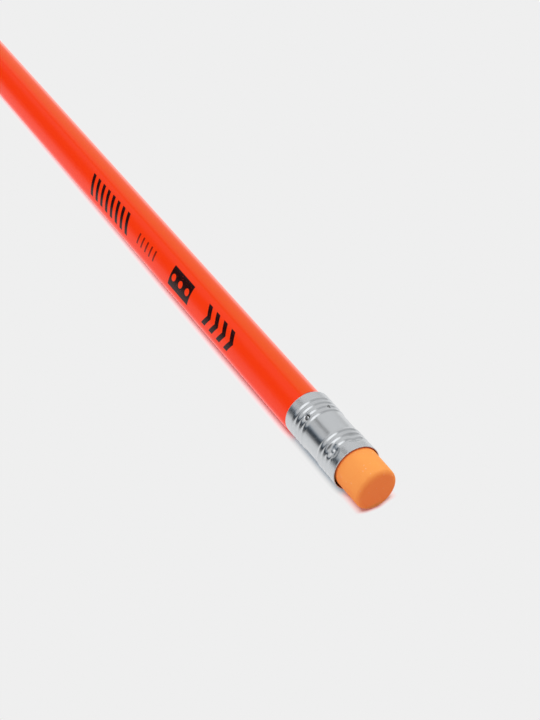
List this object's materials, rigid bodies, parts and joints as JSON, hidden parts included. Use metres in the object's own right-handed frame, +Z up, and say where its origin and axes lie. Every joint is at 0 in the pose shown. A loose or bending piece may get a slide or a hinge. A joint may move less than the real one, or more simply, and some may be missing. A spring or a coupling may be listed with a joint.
{
  "type": "pencil with eraser",
  "caption": "Triangular wood pencil with a sharpened graphite point, glossy orange-red lacquer, a beaded aluminium ferrule and an orange rubber eraser.",
  "frame": {"origin": "middle of the bounding box at its bottom, on the surface that the ferrule lies on, under the middle of the length", "axes": "+X along the pencil from the point to the eraser, +Z up, with one barrel face down and one corner up"},
  "size_m": [0.19, 0.0076, 0.0076],
  "materials": {
    "graphite": "satin dark grey graphite",
    "glue": "thin pale glue film",
    "wood": "bare sharpened wood",
    "primer": "matte white undercoat",
    "lacquer": "glossy fluorescent orange-red lacquer",
    "ferrule": "bright drawn aluminium",
    "eraser": "matte orange rubber"
  },
  "bodies": {
    "root": {"graphite_core": "graphite", "glue_line": "glue", "wood_slat_upper": "wood", "wood_slat_lower": "wood", "primer_coat": "primer", "lacquer_coat": "lacquer", "ferrule": "ferrule", "eraser_plug": "eraser"}
  },
  "joints": []
}
